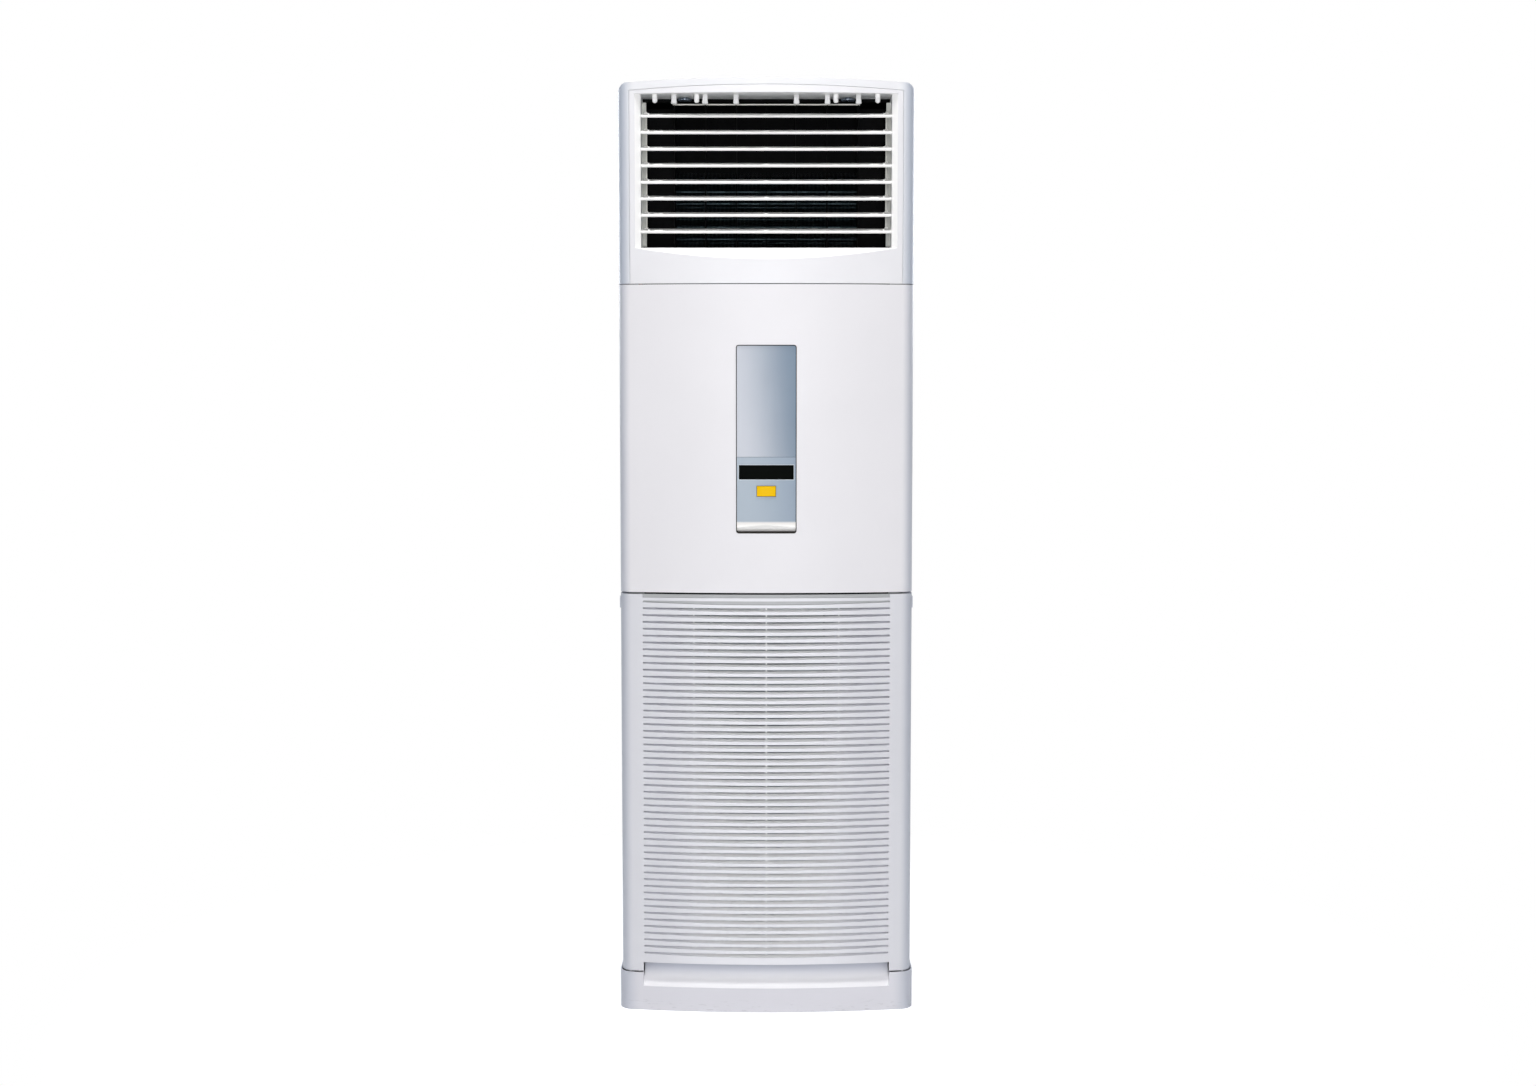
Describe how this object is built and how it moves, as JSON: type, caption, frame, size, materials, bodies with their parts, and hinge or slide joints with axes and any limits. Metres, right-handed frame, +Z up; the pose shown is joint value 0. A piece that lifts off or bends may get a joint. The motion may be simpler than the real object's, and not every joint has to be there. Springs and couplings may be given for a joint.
{
  "type": "floor standing air conditioner",
  "caption": "Tall bowed cabinet with a louvred outlet above, a display strip on its plain middle panel and a slotted tilting intake grille over a skirted base.",
  "frame": {"origin": "on the floor, under the centre of the cabinet's bounding box", "axes": "+Z up, -Y out of the front, +X to the right seen from the front"},
  "size_m": [0.6, 0.35, 1.88],
  "materials": {
    "white_plastic": "satin moulded plastic, warm white",
    "grille_plastic": "satin moulded plastic, slightly greyer white",
    "white_steel": "powder-coated sheet steel",
    "galvanised": "galvanised sheet steel",
    "silver_trim": "satin silver-blue metallic finish",
    "dark_glass": "gloss black glazing",
    "yellow_button": "gloss yellow",
    "black_plastic": "matte black moulded plastic",
    "foam": "matte black insulating foam",
    "rubber": "black rubber",
    "aluminium_fins": "blue-coated aluminium fins",
    "copper": "bare copper",
    "net": "woven filter net",
    "board": "green circuit board",
    "motor_black": "black enamel",
    "zinc_screw": "zinc-plated",
    "steel": "turned steel",
    "hose": "grey flexible plastic"
  },
  "bodies": {
    "cabinet": {"base_pan": "galvanised", "plinth": "grille_plastic", "back_panel": "white_steel", "top_cover": "white_steel", "casing_screws": "zinc_screw", "grommets": "rubber", "upper_casing": "white_plastic", "outlet_frame": "white_plastic", "front_panel": "white_plastic", "grille_hinges": "galvanised", "trim_plate": "silver_trim", "control_plate": "silver_trim", "display_window": "dark_glass", "display_board": "board", "strip_housing": "black_plastic", "vane_carrier": "black_plastic", "swing_motor": "steel", "duct_liner": "foam", "scroll_housing": "galvanised", "inlet_bell": "galvanised", "fan_motor": "motor_black", "motor_bracket": "galvanised", "bulkhead": "galvanised", "deck": "galvanised", "filter_guides": "black_plastic", "evaporator_fins": "aluminium_fins", "evaporator_tubes": "copper", "coil_end_plates": "galvanised", "drain_tray": "black_plastic", "drain_hose": "hose", "refrigerant_pipes": "copper", "control_box": "galvanised", "control_board": "board", "terminal_block": "black_plastic", "side_panel_left": "white_steel", "side_panel_right": "white_steel"},
    "intake_grille": {"intake_grille": "grille_plastic"},
    "grille_clip_left": {"grille_clip_left": "grille_plastic"},
    "grille_clip_right": {"grille_clip_right": "grille_plastic"},
    "air_filter": {"filter_frame": "black_plastic", "filter_net": "net"},
    "push_button": {"push_button": "yellow_button"},
    "louvre_links": {"louvre_links": "white_plastic"},
    "vane_link": {"vane_link": "white_plastic"},
    "blower": {"blower_wheel": "black_plastic", "motor_shaft": "steel"},
    "louvre_1": {"louvre_1": "white_plastic"},
    "louvre_2": {"louvre_2": "white_plastic"},
    "louvre_3": {"louvre_3": "white_plastic"},
    "louvre_4": {"louvre_4": "white_plastic"},
    "louvre_5": {"louvre_5": "white_plastic"},
    "louvre_6": {"louvre_6": "white_plastic"},
    "louvre_7": {"louvre_7": "white_plastic"},
    "louvre_8": {"louvre_8": "white_plastic"},
    "vane_1": {"vane_1": "black_plastic"},
    "vane_2": {"vane_2": "black_plastic"},
    "vane_3": {"vane_3": "black_plastic"},
    "vane_4": {"vane_4": "black_plastic"},
    "vane_5": {"vane_5": "black_plastic"},
    "vane_6": {"vane_6": "black_plastic"}
  },
  "joints": [
    {"name": "grille_tilt", "type": "hinge", "parent": "cabinet", "child": "intake_grille", "pos_m": [0, -0.138, 0.078], "axis": [1, 0, 0], "range_deg": [0, 22]},
    {"name": "clip_left_press", "type": "slide", "parent": "intake_grille", "child": "grille_clip_left", "axis": [1, 0, 0], "range_m": [0, 0.002], "stiffness_N_per_m": 600},
    {"name": "clip_right_press", "type": "slide", "parent": "intake_grille", "child": "grille_clip_right", "axis": [-1, 0, 0], "range_m": [0, 0.002], "stiffness_N_per_m": 600},
    {"name": "filter_lift", "type": "slide", "parent": "cabinet", "child": "air_filter", "axis": [0, 0, 1], "range_m": [0, 0.025]},
    {"name": "button_press", "type": "slide", "parent": "cabinet", "child": "push_button", "axis": [0, 1, 0], "range_m": [0, 0.0012], "stiffness_N_per_m": 500},
    {"name": "blower_spin", "type": "hinge", "parent": "cabinet", "child": "blower", "pos_m": [0, 0, 0.47], "axis": [0, 1, 0], "continuous": true},
    {"name": "louvre_1_tilt", "type": "hinge", "parent": "cabinet", "child": "louvre_1", "pos_m": [0, -0.132, 1.8112], "axis": [1, 0, 0], "range_deg": [-36, 29]},
    {"name": "louvre_2_tilt", "type": "hinge", "parent": "cabinet", "child": "louvre_2", "pos_m": [0, -0.132, 1.7787], "axis": [1, 0, 0], "range_deg": [-36, 29]},
    {"name": "louvre_3_tilt", "type": "hinge", "parent": "cabinet", "child": "louvre_3", "pos_m": [0, -0.132, 1.7462], "axis": [1, 0, 0], "range_deg": [-36, 29]},
    {"name": "louvre_4_tilt", "type": "hinge", "parent": "cabinet", "child": "louvre_4", "pos_m": [0, -0.132, 1.7137], "axis": [1, 0, 0], "range_deg": [-36, 29]},
    {"name": "louvre_5_tilt", "type": "hinge", "parent": "cabinet", "child": "louvre_5", "pos_m": [0, -0.132, 1.6812], "axis": [1, 0, 0], "range_deg": [-36, 29]},
    {"name": "louvre_6_tilt", "type": "hinge", "parent": "cabinet", "child": "louvre_6", "pos_m": [0, -0.132, 1.6487], "axis": [1, 0, 0], "range_deg": [-36, 29]},
    {"name": "louvre_7_tilt", "type": "hinge", "parent": "cabinet", "child": "louvre_7", "pos_m": [0, -0.132, 1.6162], "axis": [1, 0, 0], "range_deg": [-36, 29]},
    {"name": "louvre_8_tilt", "type": "hinge", "parent": "cabinet", "child": "louvre_8", "pos_m": [0, -0.132, 1.5837], "axis": [1, 0, 0], "range_deg": [-36, 29]},
    {"name": "louvre_links_follow", "type": "hinge", "parent": "louvre_1", "child": "louvre_links", "pos_m": [0, -0.10893, 1.81781], "axis": [1, 0, 0], "range_deg": [-29, 36]},
    {"name": "vane_1_swing", "type": "hinge", "parent": "cabinet", "child": "vane_1", "pos_m": [-0.185, -0.066, 1.7], "axis": [0, 0, 1], "range_deg": [-30, 30]},
    {"name": "vane_2_swing", "type": "hinge", "parent": "cabinet", "child": "vane_2", "pos_m": [-0.12275, -0.066, 1.7], "axis": [0, 0, 1], "range_deg": [-30, 30]},
    {"name": "vane_3_swing", "type": "hinge", "parent": "cabinet", "child": "vane_3", "pos_m": [-0.0605, -0.066, 1.7], "axis": [0, 0, 1], "range_deg": [-30, 30]},
    {"name": "vane_4_swing", "type": "hinge", "parent": "cabinet", "child": "vane_4", "pos_m": [0.0605, -0.066, 1.7], "axis": [0, 0, 1], "range_deg": [-30, 30]},
    {"name": "vane_5_swing", "type": "hinge", "parent": "cabinet", "child": "vane_5", "pos_m": [0.12275, -0.066, 1.7], "axis": [0, 0, 1], "range_deg": [-30, 30]},
    {"name": "vane_6_swing", "type": "hinge", "parent": "cabinet", "child": "vane_6", "pos_m": [0.185, -0.066, 1.7], "axis": [0, 0, 1], "range_deg": [-30, 30]},
    {"name": "vane_link_follow", "type": "hinge", "parent": "vane_1", "child": "vane_link", "pos_m": [-0.185, -0.086, 1.828], "axis": [0, 0, 1], "range_deg": [-30, 30]}
  ],
  "couplings": [
    {"joint": "louvre_2_tilt", "follows": "louvre_1_tilt", "ratio": 1},
    {"joint": "louvre_3_tilt", "follows": "louvre_1_tilt", "ratio": 1},
    {"joint": "louvre_4_tilt", "follows": "louvre_1_tilt", "ratio": 1},
    {"joint": "louvre_5_tilt", "follows": "louvre_1_tilt", "ratio": 1},
    {"joint": "louvre_6_tilt", "follows": "louvre_1_tilt", "ratio": 1},
    {"joint": "louvre_7_tilt", "follows": "louvre_1_tilt", "ratio": 1},
    {"joint": "louvre_8_tilt", "follows": "louvre_1_tilt", "ratio": 1},
    {"joint": "louvre_links_follow", "follows": "louvre_1_tilt", "ratio": -1},
    {"joint": "vane_2_swing", "follows": "vane_1_swing", "ratio": 1},
    {"joint": "vane_3_swing", "follows": "vane_1_swing", "ratio": 1},
    {"joint": "vane_4_swing", "follows": "vane_1_swing", "ratio": 1},
    {"joint": "vane_5_swing", "follows": "vane_1_swing", "ratio": 1},
    {"joint": "vane_6_swing", "follows": "vane_1_swing", "ratio": 1},
    {"joint": "vane_link_follow", "follows": "vane_1_swing", "ratio": -1}
  ]
}
